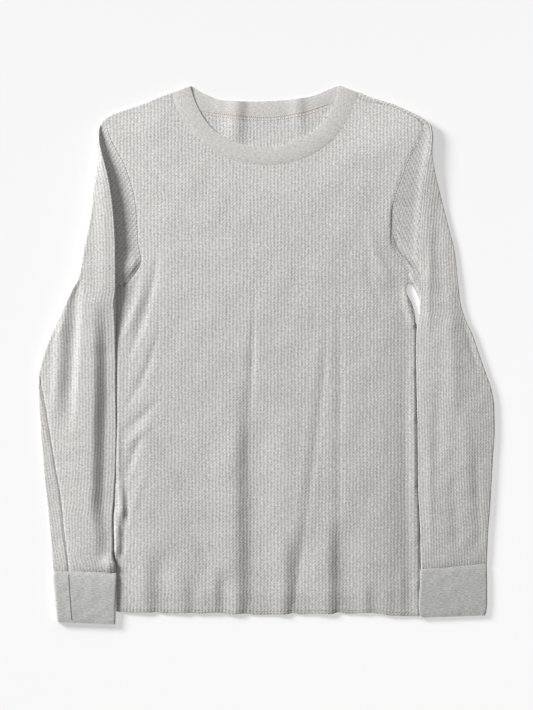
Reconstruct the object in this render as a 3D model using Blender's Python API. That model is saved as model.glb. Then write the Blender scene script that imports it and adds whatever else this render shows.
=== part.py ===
"""Long-sleeved crew-neck thermal top, laid out flat and face up.

Seven sewn pieces: front, back, two sleeves, a neckband and two cuffs. The back lies on the
ground, the front lies on it, and both sleeves are folded down beside the body, each over its
own cap along a ridge that runs down from the tip of the shoulder. +Y points to the neck and +X to the wearer's
left. All tables are in millimetres; the frame's origin is under the middle of the whole.
"""

import math

import bmesh
import bpy
from mathutils import Vector
from mathutils.geometry import delaunay_2d_cdt, intersect_point_line

MM = 0.001

WAFFLE_WALL = 1.8
JERSEY_WALL = 1.5
SEAM_GAP = 0.3
BACK_Z = WAFFLE_WALL / 2
FRONT_Z = BACK_Z + WAFFLE_WALL + SEAM_GAP
LAYER = WAFFLE_WALL + SEAM_GAP
FOLD_RADIUS = LAYER / 2
FOLD_REACH = FOLD_RADIUS + WAFFLE_WALL / 2
PANEL_CELL = (17.0, 42.0)
FRONT_PUFF = 2.0
PUFF_MARGIN = 45.0
STEP_REACH = 1.7
CAP_Z = FRONT_Z + 0.6
ARMPIT_Z = FRONT_Z + 1.2

GREY_WAFFLE = (0.55, 0.55, 0.54, 1.0)
GREY_JERSEY = (0.58, 0.575, 0.56, 1.0)


def table(names, *rows):
    """Rows of numbers with named columns."""
    keys = names.split()
    return [dict(zip(keys, row)) for row in rows]


BODY_EDGE = table(
    "y      left    right",
    (-321, -186.0, 190.0),
    (-290, -186.0, 191.0),
    (-262, -186.5, 191.0),
    (-240, -190.0, 191.0),
    (-205, -191.0, 189.0),
    (-161, -188.5, 187.0),
    (-94, -186.5, 187.0),
    (-42, -187.0, 185.0),
    (12, -186.5, 184.5),
    (45, -185.5, 184.3),
    (58, -184.5, 182.0),
    (70, -183.0, 175.0),
    (80, -179.0, 173.5),
    (88, -174.0, 176.0),
    (96, -169.5, 178.0),
    (107, -161.0, 176.0),
    (118, -157.0, 170.0),
    (130, -159.0, 160.5),
    (150, -161.0, 155.0),
    (175, -162.0, 155.5),
    (198, -164.5, 160.0),
    (219, -170.5, 168.0),
    (241, -179.0, 176.0),
    (255, -186.5, 184.0),
    (272, -195.0, 192.5),
    (284, -198.5, 197.5),
)

HEM = table(
    "x       y",
    (-186, -321.0),
    (-145, -323.0),
    (-95, -323.0),
    (-60, -322.5),
    (-20, -325.0),
    (42, -324.0),
    (92, -323.0),
    (123, -323.0),
    (155, -325.5),
    (190, -327.0),
)

SHOULDER_FOLD = table(
    "left_x  left_y  right_x  right_y",
    (-119.5, 325.8, 115.0, 325.6),
    (-132, 321.0, 129, 320.0),
    (-145, 315.2, 141, 316.0),
    (-158, 310.2, 154, 312.0),
    (-170, 306.2, 166, 307.0),
    (-182, 302.0, 179, 301.0),
    (-194, 296.5, 190, 294.6),
    (-202, 291.0, 198.5, 289.0),
)

SHOULDER_SEAM = table(
    "left_x  left_y  right_x  right_y",
    (-119.5, 316.5, 115.0, 318.6),
    (-132, 311.5, 128, 314.3),
    (-145, 305.7, 141, 311.2),
    (-158, 300.5, 154, 308.0),
    (-170, 296.5, 166, 303.0),
    (-182, 292.3, 178, 297.4),
    (-191, 288.5, 188, 291.8),
    (-198.5, 284.0, 197.5, 284.0),
)

NECK_FRONT = table(
    "seam_x  seam_y  free_x  free_y",
    (-118.5, 326.0, -95.0, 334.6),
    (-111, 305, -89.5, 317),
    (-89, 273, -75.0, 292),
    (-65, 254, -55.0, 272.5),
    (-31, 239, -27.0, 261.5),
    (1, 236, 3.0, 258.3),
    (33, 241, 30.0, 264.0),
    (68, 257, 59.0, 277.5),
    (93, 281, 76.5, 297),
    (109, 309, 87.0, 318),
    (114.2, 325.8, 90.5, 334.6),
)

NECK_BACK = table(
    "seam_x  seam_y  free_x  free_y",
    (-118.5, 326.0, -95.0, 334.6),
    (-98, 311, -83.0, 328),
    (-74, 302, -65.0, 320.5),
    (-38, 297, -36.0, 317),
    (-3, 295, -3.0, 316),
    (39, 300, 36.0, 319),
    (76, 311, 68.0, 326.5),
    (98, 318.5, 80.0, 331.5),
    (114.2, 325.8, 90.5, 334.6),
)

FRONT_FOLDS = table(
    "top_x  top_y  foot_x  foot_y  wide  deep",
    (-17, 80, -18, -60, 9, 0.9),
    (-22, -70, -28, -340, 16, 2.0),
    (75, -20, 31, -335, 10, 1.5),
    (91, -30, 84, -335, 10, 1.6),
    (-148, 80, -182, -20, 12, 1.0),
    (-96, -250, -98, -340, 10, 1.2),
    (-139, -255, -142, -340, 10, 1.2),
    (131, -250, 132, -340, 10, 1.0),
    (-60, -285, -56, -340, 8, 1.0),
)

SLEEVE_RIGHT = table(
    "y      inner   ridge   outer   cap  rise  tilt",
    (-270.6, -187.0, -184, -266.0, 0, 4.6, -0.035),
    (-250, -196.5, -194, -268.5, 0, 4.8, -0.02),
    (-222, -195.5, -193, -270.0, 0, 4.9, 0.0),
    (-192, -193.0, -190, -273.0, 0, 5.0, 0.0),
    (-161, -190.5, -187, -276.5, 0, 5.1, 0.0),
    (-128, -189.5, -186, -279.5, 0, 5.2, 0.0),
    (-94, -188.5, -185, -282.0, 0, 5.3, 0.0),
    (-60, -188.8, -186, -284.3, 0, 5.4, 0.0),
    (-27, -191.0, -188, -284.8, 0, 5.5, 0.0),
    (5, -190.0, -187, -276.5, 0, 5.7, 0.0),
    (30, -188.5, -187, -266.5, 0, 5.9, 0.0),
    (50, -187.8, -187, -258.0, 0, 6.1, 0.0),
    (66, -187.2, -187, -250.8, 0, 6.3, 0.0),
    (82, -181.5, -189, -243.5, 1, 6.4, 0.0),
    (96, -169.5, -188, -236.0, 1, 6.4, 0.0),
    (112, -158.0, -188, -233.0, 1, 6.4, 0.0),
    (135, -160.0, -189, -228.5, 1, 6.4, 0.0),
    (158, -161.5, -190, -224.0, 1, 6.4, 0.0),
    (183, -163.0, -192, -219.5, 1, 6.4, 0.0),
    (208, -167.0, -195, -217.0, 1, 6.3, 0.0),
    (232, -175.5, -199, -212.4, 1, 5.8, 0.0),
    (252, -185.0, -202, -210.5, 1, 4.8, 0.0),
    (270, -194.0, -204, -212.0, 1, 4.0, 0.0),
    (283, -198.3, -204, -211.0, 1, 3.7, 0.0),
)

SLEEVE_LEFT = table(
    "y      inner   ridge   outer   cap  rise  tilt",
    (-264.0, 193.2, 196, 275.3, 0, 4.6, 0.085),
    (-247, 193.0, 196, 276.0, 0, 4.8, 0.05),
    (-222, 192.6, 196, 277.0, 0, 4.9, 0.0),
    (-192, 191.0, 194, 279.4, 0, 5.0, 0.0),
    (-161, 189.3, 193, 281.2, 0, 5.1, 0.0),
    (-128, 188.8, 192, 283.0, 0, 5.2, 0.0),
    (-94, 188.6, 192, 285.2, 0, 5.3, 0.0),
    (-62, 187.8, 191, 284.3, 0, 5.4, 0.0),
    (-30, 187.0, 190, 279.2, 0, 5.5, 0.0),
    (0, 186.8, 189, 266.5, 0, 5.7, 0.0),
    (24, 187.6, 190, 257.8, 0, 5.9, 0.0),
    (42, 189.0, 191, 249.2, 0, 6.1, 0.0),
    (56, 191.2, 192, 244.0, 0, 6.2, 0.0),
    (68, 190.6, 193, 241.0, 0, 6.3, 0.0),
    (80, 185.5, 194, 240.2, 1, 6.4, 0.0),
    (92, 178.3, 194, 238.8, 1, 6.4, 0.0),
    (107, 176.0, 194, 237.2, 1, 6.4, 0.0),
    (130, 160.5, 193, 234.6, 1, 6.4, 0.0),
    (158, 155.2, 194, 228.0, 1, 6.4, 0.0),
    (183, 156.8, 196, 221.8, 1, 6.4, 0.0),
    (208, 164.0, 198, 215.6, 1, 6.3, 0.0),
    (232, 172.8, 199, 210.2, 1, 5.6, 0.0),
    (252, 182.5, 200, 207.7, 1, 4.6, 0.0),
    (270, 191.6, 202, 208.2, 1, 4.0, 0.0),
    (283, 197.4, 202, 206.8, 1, 3.7, 0.0),
)

ARMPIT_Y = 90.0

SLEEVE_FOLDS = table(
    "top_x  top_y  foot_x  foot_y  wide  deep",
    (-211, 80, -203, -60, 11, 1.6),
    (-203, -60, -198, -250, 10, 1.4),
    (-241, 80, -248, -110, 14, -1.2),
    (226, 60, 232, -120, 18, -0.8),
    (206, -20, 213, -230, 12, 0.9),
)

CUFF_RIGHT = table(
    "y      inner   outer   rise  tilt",
    (-271.3, -187.2, -266.2, 4.4, -0.035),
    (-288, -188.0, -265.4, 4.6, -0.035),
    (-304, -188.6, -264.2, 4.6, -0.038),
    (-320, -188.9, -262.8, 4.5, -0.04),
    (-334.5, -188.9, -261.4, 4.1, -0.04),
)

CUFF_LEFT = table(
    "y      inner   outer   rise  tilt",
    (-264.4, 193.4, 275.2, 4.4, 0.085),
    (-281, 193.0, 275.6, 4.6, 0.07),
    (-297, 191.9, 275.8, 4.6, 0.055),
    (-312, 191.4, 275.6, 4.5, 0.045),
    (-326.5, 193.0, 273.6, 4.1, 0.035),
)


def pchip(xs, ys, x):
    """Smooth value through the points that never overshoots them."""
    if xs[0] > xs[-1]:
        xs, ys = xs[::-1], ys[::-1]
    x = min(max(x, xs[0]), xs[-1])
    k = max(i for i in range(len(xs) - 1) if xs[i] <= x)
    steps = [(ys[i + 1] - ys[i]) / (xs[i + 1] - xs[i]) for i in range(len(xs) - 1)]

    def slope(i):
        if i == 0 or i == len(xs) - 1:
            return steps[min(i, len(steps) - 1)]
        a, b = steps[i - 1], steps[i]
        return 0.0 if a * b <= 0 else 2 * a * b / (a + b)

    span = xs[k + 1] - xs[k]
    t = (x - xs[k]) / span
    return (
        (2 * t**3 - 3 * t**2 + 1) * ys[k]
        + (t**3 - 2 * t**2 + t) * span * slope(k)
        + (3 * t**2 - 2 * t**3) * ys[k + 1]
        + (t**3 - t**2) * span * slope(k + 1)
    )


def value(rows, key, name, where):
    """The column's smooth value where the key column reads as given."""
    return pchip([row[key] for row in rows], [row[name] for row in rows], where)


def curve(rows, x_name, y_name, count):
    """Evenly spaced points on a smooth curve through the rows, ends included."""
    points = [Vector((row[x_name], row[y_name])) for row in rows]
    run = [0.0]
    for a, b in zip(points, points[1:]):
        run.append(run[-1] + (b - a).length)
    stations = [run[-1] * i / (count - 1) for i in range(count)]
    xs = [p.x for p in points]
    ys = [p.y for p in points]
    return [Vector((pchip(run, xs, s), pchip(run, ys, s))) for s in stations]


def smoothstep(low, high, x):
    t = min(max((x - low) / (high - low), 0.0), 1.0)
    return t * t * (3 - 2 * t)


def fold_depth(folds, x, y):
    """How far the folds sink the cloth at a point; soft across and towards their ends."""
    total = 0.0
    for fold in folds:
        run = (fold["top_y"] - y) / (fold["top_y"] - fold["foot_y"])
        if 0.0 < run < 1.0:
            middle = fold["top_x"] + (fold["foot_x"] - fold["top_x"]) * run
            across = (x - middle) / (0.5 * fold["wide"])
            fade = smoothstep(0.0, 0.3, run)
            total += fold["deep"] * fade * math.exp(-across * across)
    return total


def edge_distance(x, y, outline):
    """Distance from a point to a closed outline."""
    point = Vector((x, y))
    best = 1e9
    for a, b in zip(outline, outline[1:] + outline[:1]):
        near, share = intersect_point_line(point, a, b)
        share = min(max(share, 0.0), 1.0)
        best = min(best, (a + (b - a) * share - point).length)
    return best


def inside(x, y, outline):
    hit = False
    for a, b in zip(outline, outline[1:] + outline[:1]):
        if (a.y > y) != (b.y > y):
            if x < a.x + (y - a.y) * (b.x - a.x) / (b.y - a.y):
                hit = not hit
    return hit


def offset(points, distance):
    """An open run of points moved sideways, to the left of its direction when positive."""
    moved = []
    for i, p in enumerate(points):
        way = points[min(i + 1, len(points) - 1)] - points[max(i - 1, 0)]
        moved.append(p + Vector((-way.y, way.x)).normalized() * distance)
    return moved


def body_side(name, low, sleeve_rows):
    """Points up one side of the body, hem to shoulder tip; the armhole's are at the sleeve's rows."""
    count = 18
    ys = [low + (45.0 - low) * i / (count - 1) for i in range(count)] + [58.0, 70.0, 80.0, 88.0]
    ys += [row["y"] for row in sleeve_rows if row["y"] > ARMPIT_Y]
    return [Vector((value(BODY_EDGE, "y", name, y), y)) for y in ys]


def material(name, colour):
    made = bpy.data.materials.new(name)
    made.use_nodes = True
    shader = made.node_tree.nodes["Principled BSDF"]
    shader.inputs["Base Color"].default_value = colour
    shader.inputs["Roughness"].default_value = 0.92
    shader.inputs["Metallic"].default_value = 0.0
    return made


def cloth(name, vertices, faces, wall, colour):
    """A sheet given as its middle surface in millimetres, thickened both ways into a wall."""
    mesh = bpy.data.meshes.new(name)
    mesh.from_pydata([Vector(v) * MM for v in vertices], [], faces)
    builder = bmesh.new()
    builder.from_mesh(mesh)
    bmesh.ops.recalc_face_normals(builder, faces=builder.faces)
    builder.to_mesh(mesh)
    builder.free()
    mesh.update()
    mesh.materials.append(material(name, colour))
    piece = bpy.data.objects.new(name, mesh)
    bpy.context.scene.collection.objects.link(piece)
    thick = piece.modifiers.new("wall", "SOLIDIFY")
    thick.thickness = wall * MM
    thick.offset = 0.0
    thick.use_even_offset = False
    thick.use_rim = True
    return piece


def panel(name, outline, height, strips, colour):
    """A cut panel: its outline filled with a grid, then a strip turned over at each shoulder fold.

    A strip is a list of (fold point, seam point, start height, turn) for points that are
    already on the outline, in order.
    """
    wide, tall = PANEL_CELL
    squash = wide / tall
    points = list(outline)
    low_x, high_x = min(p.x for p in outline), max(p.x for p in outline)
    low_y, high_y = min(p.y for p in outline), max(p.y for p in outline)
    columns = round((high_x - low_x) / wide)
    rows = round((high_y - low_y) / tall)
    for i in range(1, columns):
        for j in range(1, rows):
            x = low_x + (high_x - low_x) * i / columns
            y = low_y + (high_y - low_y) * j / rows
            if inside(x, y, outline) and edge_distance(x, y, outline) > 0.45 * wide:
                points.append(Vector((x, y)))
    flat = [Vector((p.x, p.y * squash)) for p in points]
    ring = list(range(len(outline)))
    made = delaunay_2d_cdt(flat, [], [ring], 1, 1e-6)
    vertices = []
    for p in made[0]:
        y = p.y / squash
        vertices.append((p.x, y, height(p.x, y)))
    faces = [tuple(face) for face in made[2]]
    for strip in strips:
        previous = []
        for fold_point, seam_point, start, turn in strip:
            near = min(
                range(len(made[0])),
                key=lambda i: (vertices[i][0] - fold_point.x) ** 2 + (vertices[i][1] - fold_point.y) ** 2,
            )
            inward = (seam_point - fold_point).normalized()
            current = [near]
            for angle in (60, 120, 180):
                reach = FOLD_RADIUS * math.sin(math.radians(angle))
                lift = turn * FOLD_RADIUS * (1 - math.cos(math.radians(angle)))
                spot = fold_point - inward * reach
                current.append(len(vertices))
                vertices.append((spot.x, spot.y, start + lift))
            current.append(len(vertices))
            vertices.append((seam_point.x, seam_point.y, start + turn * LAYER))
            if previous:
                for k in range(len(current) - 1):
                    faces.append((previous[k], current[k], current[k + 1], previous[k + 1]))
            previous = current
    return cloth(name, vertices, faces, WAFFLE_WALL, colour)


def tube(name, sections, wall, colour, closed_rows):
    """A sheet through equal rows of points; rows marked closed share their first and last point."""
    vertices = []
    index = []
    for row, closed in zip(sections, closed_rows):
        line = []
        for i, point in enumerate(row):
            if closed and i == len(row) - 1:
                line.append(line[0])
            else:
                line.append(len(vertices))
                vertices.append(point)
        index.append(line)
    faces = []
    for a, b in zip(index, index[1:]):
        for i in range(len(a) - 1):
            quad = [a[i], a[i + 1], b[i + 1], b[i]]
            faces.append(tuple(dict.fromkeys(quad)))
    return cloth(name, vertices, faces, wall, colour)


def arc(start, end, bulge, count):
    """Points between two ends on half an ellipse that bulges sideways, ends left out."""
    points = []
    for i in range(1, count + 1):
        turn = math.pi * i / (count + 1)
        share = (1 - math.cos(turn)) / 2
        points.append(
            (
                start[0] + (end[0] - start[0]) * share + bulge * math.sin(turn),
                start[1] + (end[1] - start[1]) * share,
            )
        )
    return points


def line(start, end, count):
    """Evenly spaced points from the start, which is included, to the end, which is not."""
    return [
        (start[0] + (end[0] - start[0]) * i / count, start[1] + (end[1] - start[1]) * i / count)
        for i in range(count)
    ]


def sleeve_section(row, side):
    """One cross-section of a sleeve as (distance outwards, height) pairs.

    From the front armhole edge across the cap, up the step where the sleeve folds down over
    its cap, over the top to the outer edge, and back along the ground to the back armhole edge.
    Below the armpit the section closes, and the step becomes the sleeve's inner edge.
    """
    closed = row["y"] < ARMPIT_Y
    half = WAFFLE_WALL / 2
    armhole = value(BODY_EDGE, "y", "right" if side > 0 else "left", row["y"])
    inner = side * row["inner"] + half if closed else side * armhole + SEAM_GAP
    top = row["rise"]
    swell = 0.77 * (top - BACK_Z) / 2
    outer = side * row["outer"] - half - swell
    cap_z = ARMPIT_Z if closed else CAP_Z
    start_z = FRONT_Z
    if closed:
        start_z = (BACK_Z + (cap_z if row["cap"] else top)) / 2
    edge = (cap_z - BACK_Z) / 2 if row["cap"] else swell
    bend = (top - cap_z) / 2
    reach = max(bend, STEP_REACH)
    foot = side * row["ridge"] - reach

    if closed:
        stepped = [
            (inner, start_z),
            (inner + 0.3 * edge, start_z + 0.7 * edge),
            (inner + edge, cap_z),
        ]
    else:
        stepped = line((inner, start_z), (foot, cap_z), 3)
    for degrees in (0, 45, 90):
        turn = math.radians(degrees)
        stepped.append((foot + reach * math.sin(turn), cap_z + bend * (1 - math.cos(turn))))
    for degrees in (45, 90):
        turn = math.radians(degrees)
        stepped.append((foot + reach * (2 - math.cos(turn)), cap_z + bend * (1 + math.sin(turn))))
    rounded = []
    for i in range(8):
        turn = math.pi / 2 * i / 7
        rounded.append(
            (inner + swell * (1 - math.cos(turn)), start_z + (top - start_z) * math.sin(turn))
        )
    section = stepped if row["cap"] else rounded
    section += line(section[-1], (outer, top), 5)[1:] + [(outer, top)]
    section += arc((outer, top), (outer, BACK_Z), swell, 3)
    if closed:
        section += line((outer, BACK_Z), (inner + edge, BACK_Z), 3) + [(inner + edge, BACK_Z)]
        for degrees in (60, 30, 0):
            turn = math.radians(degrees)
            section.append(
                (
                    inner + edge * (1 - math.cos(turn)),
                    start_z - (start_z - BACK_Z) * math.sin(turn),
                )
            )
    else:
        section += line((outer, BACK_Z), (inner, BACK_Z), 6) + [(inner, BACK_Z)]
    return section


def sleeve(name, rows, side, colour):
    """A sleeve lofted through its sections, with the large folds pressed into the top layer."""
    sections = []
    closed_rows = []
    for row in rows:
        section = sleeve_section(row, side)
        middle = (row["inner"] + row["outer"]) / 2
        placed = []
        for i, (out, z) in enumerate(section):
            x = side * out
            if 7 < i < 12:
                edge = min(i - 7, 12 - i) / 2
                z -= min(1.0, edge) * fold_depth(SLEEVE_FOLDS, x, row["y"])
            placed.append((x, row["y"] + row["tilt"] * (x - middle), z))
        sections.append(placed)
        closed_rows.append(row["y"] < ARMPIT_Y)
    return tube(name, sections, WAFFLE_WALL, colour, closed_rows)


def cuff(name, rows, side, colour):
    """A flattened jersey tube, open at both ends."""
    low = JERSEY_WALL / 2
    sections = []
    for row in rows:
        swell = 0.77 * (row["rise"] - low) / 2
        inner = side * row["inner"] + low + swell
        outer = side * row["outer"] - low - swell
        top = row["rise"]
        middle = (row["inner"] + row["outer"]) / 2
        section = line((inner, top), (outer, top), 5) + [(outer, top)]
        section += arc((outer, top), (outer, low), swell, 3)
        section += line((outer, low), (inner, low), 5) + [(inner, low)]
        section += arc((inner, low), (inner, top), -swell, 3)
        section += [(inner, top)]
        sections.append(
            [(side * out, row["y"] + row["tilt"] * (side * out - middle), z) for out, z in section]
        )
    return tube(name, sections, JERSEY_WALL, colour, [True] * len(rows))


def neckband(name, colour):
    """A ring of cross-strips, free edge to seam edge, turned over at each shoulder fold."""
    across = 3
    front = (curve(NECK_FRONT, "free_x", "free_y", 23), curve(NECK_FRONT, "seam_x", "seam_y", 23))
    rear = (curve(NECK_BACK, "free_x", "free_y", 15), curve(NECK_BACK, "seam_x", "seam_y", 15))
    rear = (rear[0][::-1], rear[1][::-1])
    ring = []

    def strip(free, seam, z):
        return [
            (free.x + (seam.x - free.x) * i / across, free.y + (seam.y - free.y) * i / across, z)
            for i in range(across + 1)
        ]

    def turn(free, seam, angles):
        along = (seam - free).normalized()
        outward = Vector((-along.y, along.x))
        if outward.y < 0:
            outward = -outward
        for angle in angles:
            reach = outward * FOLD_RADIUS * math.sin(math.radians(angle))
            z = BACK_Z + FOLD_RADIUS * (1 - math.cos(math.radians(angle)))
            ring.append(strip(free + reach, seam + reach, z))

    for free, seam in zip(*front):
        ring.append(strip(free, seam, FRONT_Z))
    turn(front[0][-1], front[1][-1], (135, 90, 45))
    for free, seam in zip(*rear):
        ring.append(strip(free, seam, BACK_Z))
    turn(front[0][0], front[1][0], (45, 90, 135))

    vertices = [point for section in ring for point in section]
    count = across + 1
    faces = []
    for i in range(len(ring)):
        j = (i + 1) % len(ring)
        for k in range(across):
            faces.append((i * count + k, i * count + k + 1, j * count + k + 1, j * count + k))
    return cloth(name, vertices, faces, WAFFLE_WALL, colour)


def hem_run(raise_by):
    points = curve(HEM, "x", "y", 27)
    return [Vector((p.x, p.y + raise_by)) for p in points]


def front_height(x, y):
    """Height of the front's middle: flat on the back at the edges, softly raised between."""
    half_width = 188.0
    near_side = smoothstep(0.0, PUFF_MARGIN, half_width - abs(x))
    near_neck = smoothstep(0.0, 120.0, 250.0 - y)
    raised = FRONT_PUFF * near_side * near_neck
    return FRONT_Z + max(0.0, raised - fold_depth(FRONT_FOLDS, x, y) * min(1.0, raised))


def back_height(x, y):
    return BACK_Z


for old in list(bpy.data.objects):
    bpy.data.objects.remove(old, do_unlink=True)

fold_left = curve(SHOULDER_FOLD, "left_x", "left_y", 9)
fold_right = curve(SHOULDER_FOLD, "right_x", "right_y", 9)
seam_left = curve(SHOULDER_SEAM, "left_x", "left_y", 9)
seam_right = curve(SHOULDER_SEAM, "right_x", "right_y", 9)
neck_front = offset(curve(NECK_FRONT, "seam_x", "seam_y", 23), -SEAM_GAP)
neck_back = offset(curve(NECK_BACK, "seam_x", "seam_y", 15), -SEAM_GAP)


def pulled(seam_points, fold_points):
    """The other panel's shoulder edge, a seam gap short of the strip's edge."""
    return [s + (s - f).normalized() * SEAM_GAP for s, f in zip(seam_points, fold_points)]


front_outline = hem_run(0.0)[:-1]
front_outline += body_side("right", -327.0, SLEEVE_LEFT)[:-1]
front_outline += pulled(seam_right, fold_right)[::-1]
front_outline += neck_front[::-1][1:-1]
front_outline += fold_left
front_outline += body_side("left", -321.0, SLEEVE_RIGHT)[::-1][:-1]
panel(
    "front",
    front_outline,
    front_height,
    [[(f, s, FRONT_Z, -1) for f, s in zip(fold_left, seam_left)]],
    GREY_WAFFLE,
)

back_outline = hem_run(1.0)[:-1] + body_side("right", -326.0, SLEEVE_LEFT)
back_outline += fold_right[::-1]
back_outline += neck_back[::-1][1:-1]
back_outline += pulled(seam_left, fold_left)
back_outline += body_side("left", -320.0, SLEEVE_RIGHT)[::-1][1:-1]
panel(
    "back",
    back_outline,
    back_height,
    [[(f, s, BACK_Z, 1) for f, s in zip(fold_right, seam_right)]],
    GREY_WAFFLE,
)

sleeve("sleeve_right", SLEEVE_RIGHT, -1, GREY_WAFFLE)
sleeve("sleeve_left", SLEEVE_LEFT, 1, GREY_WAFFLE)
neckband("neckband", GREY_JERSEY)
cuff("cuff_right", CUFF_RIGHT, -1, GREY_JERSEY)
cuff("cuff_left", CUFF_LEFT, 1, GREY_JERSEY)

bpy.context.view_layer.update()
corners = [piece.matrix_world @ Vector(c) for piece in bpy.data.objects for c in piece.bound_box]
middle_x = (min(c.x for c in corners) + max(c.x for c in corners)) / 2
middle_y = (min(c.y for c in corners) + max(c.y for c in corners)) / 2
for piece in bpy.data.objects:
    for vertex in piece.data.vertices:
        vertex.co.x -= middle_x
        vertex.co.y -= middle_y
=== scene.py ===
"""Long-sleeved waffle-knit thermal top, laid out flat and face up on a pale surface.

The sections follow the sewing: back, front, the two sleeves, the neckband, the cuffs, then
the seams and stitches that join them, and last the surface, the light and the camera.
Tables are in millimetres unless they say otherwise; +Y points to the neck, +X to the
wearer's left and +Z up.
"""

import math
from functools import partial

import bmesh
import bpy
import numpy as np
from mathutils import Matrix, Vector
from mathutils.bvhtree import BVHTree
from mathutils.geometry import delaunay_2d_cdt


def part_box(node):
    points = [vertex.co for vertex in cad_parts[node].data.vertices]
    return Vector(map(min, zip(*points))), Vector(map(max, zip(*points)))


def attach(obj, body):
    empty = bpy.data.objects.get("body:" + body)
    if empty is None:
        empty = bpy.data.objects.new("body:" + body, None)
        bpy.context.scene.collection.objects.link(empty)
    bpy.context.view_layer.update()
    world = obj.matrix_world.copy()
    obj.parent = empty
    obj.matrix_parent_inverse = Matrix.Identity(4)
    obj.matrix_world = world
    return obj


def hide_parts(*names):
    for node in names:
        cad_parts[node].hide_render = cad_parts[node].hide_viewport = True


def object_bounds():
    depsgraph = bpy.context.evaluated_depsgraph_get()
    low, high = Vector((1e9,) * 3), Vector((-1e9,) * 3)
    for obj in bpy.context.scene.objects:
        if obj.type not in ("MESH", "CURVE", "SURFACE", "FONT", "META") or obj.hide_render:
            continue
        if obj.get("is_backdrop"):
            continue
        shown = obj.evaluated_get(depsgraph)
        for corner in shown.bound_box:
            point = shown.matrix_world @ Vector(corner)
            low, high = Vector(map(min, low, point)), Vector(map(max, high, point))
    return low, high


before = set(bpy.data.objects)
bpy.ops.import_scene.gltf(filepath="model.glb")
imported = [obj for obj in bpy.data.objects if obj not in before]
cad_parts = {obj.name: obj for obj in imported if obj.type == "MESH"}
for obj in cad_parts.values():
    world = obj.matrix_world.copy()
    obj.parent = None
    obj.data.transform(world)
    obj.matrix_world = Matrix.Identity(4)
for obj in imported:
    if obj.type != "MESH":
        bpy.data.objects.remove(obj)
cad_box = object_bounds()
bpy.ops.object.select_all(action="DESELECT")

# ---------------------------------------------------------------------------------------
# Back panel. One cut piece of grey melange waffle knit, lying flat on the surface. At the
# wearer's left shoulder it turns over the top and is sewn to the front a little below.

MM = 0.001
RUN_STEP = 2.2 * MM
CLOTH_WALL = 1.5 * MM
BACK_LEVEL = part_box("back")[0][2] + 0.9 * MM
FRONT_LEVEL = BACK_LEVEL + 1.9 * MM
SHARP_EDGE = math.radians(55)


def rows(text):
    """Columns of a written table in millimetres, as metres, by the names in its first row."""
    names, *lines = (line.split() for line in text.strip().split("\n"))
    return dict(zip(names, np.array(lines, float).T * MM))


def smooth(xs, ys, at):
    """Smooth values through a table's points that never overshoot them."""
    xs, ys, at = np.asarray(xs, float), np.asarray(ys, float), np.asarray(at, float)
    if xs[0] > xs[-1]:
        xs, ys = xs[::-1], ys[::-1]
    step = np.diff(xs)
    rise = np.diff(ys) / step
    slope = np.empty(len(xs))
    slope[0], slope[-1] = rise[0], rise[-1]
    product = rise[:-1] * rise[1:]
    total = rise[:-1] + rise[1:]
    slope[1:-1] = np.where(product > 0, 2 * product / np.where(total == 0, 1, total), 0)
    at = np.clip(at, xs[0], xs[-1])
    k = np.clip(np.searchsorted(xs, at, side="right") - 1, 0, len(xs) - 2)
    t = (at - xs[k]) / step[k]
    return (
        (2 * t**3 - 3 * t**2 + 1) * ys[k]
        + (t**3 - 2 * t**2 + t) * step[k] * slope[k]
        + (3 * t**2 - 2 * t**3) * ys[k + 1]
        + (t**3 - t**2) * step[k] * slope[k + 1]
    )


def columns_at(table, y, *names):
    """Smooth values of a table's columns at the given y, in y's own shape."""
    return [smooth(table["y"], table[name], y) for name in names]


def run_through(xs, ys, step):
    """Evenly spaced points on a smooth curve through the table's points, ends included."""
    length = np.concatenate([[0], np.cumsum(np.hypot(np.diff(xs), np.diff(ys)))])
    at = np.linspace(0, length[-1], max(2, int(round(length[-1] / step)) + 1))
    return np.stack([smooth(length, xs, at), smooth(length, ys, at)], 1)


def resampled(points, count):
    """The same run of points with the given number of them."""
    at, share = np.linspace(0, 1, count), np.linspace(0, 1, len(points))
    return np.stack([np.interp(at, share, points[:, k]) for k in (0, 1)], 1)


def turned(x, y, angle):
    """A place turned about the origin."""
    c, s = math.cos(angle), math.sin(angle)
    return x * c - y * s, x * s + y * c


def moved_aside(points, distance):
    """A run of points moved to the left of its direction."""
    way = np.gradient(points, axis=0)
    way /= np.linalg.norm(way, axis=1)[:, None]
    return points + np.stack([-way[:, 1], way[:, 0]], 1) * distance


def distance_to(points, outline, closed=True):
    """Distance from each point to a run of points."""
    a = outline if closed else outline[:-1]
    b = np.roll(outline, -1, axis=0) if closed else outline[1:]
    along = b - a
    square = np.maximum((along**2).sum(1), 1e-14)
    best = np.full(len(points), 1e9)
    for i in range(0, len(points), 2000):
        p = points[i : i + 2000, None, :]
        t = np.clip(((p - a) * along).sum(2) / square, 0, 1)
        gap = np.linalg.norm(p - (a + along * t[..., None]), axis=2)
        best[i : i + 2000] = gap.min(1)
    return best


def within(points, outline):
    """Which points lie inside a closed outline."""
    a, b = outline, np.roll(outline, -1, axis=0)
    hits = np.zeros(len(points), int)
    for (ax, ay), (bx, by) in zip(a, b):
        if ay != by:
            crosses = (ay > points[:, 1]) != (by > points[:, 1])
            hits += crosses & (points[:, 0] < ax + (points[:, 1] - ay) * (bx - ax) / (by - ay))
    return hits % 2 == 1


def ease(low, high, value):
    """Nought up to low, one from high on, and a smooth rise between them."""
    t = np.clip((value - low) / (high - low), 0, 1)
    return t * t * (3 - 2 * t)


PATH_STEPS = 12


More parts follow.
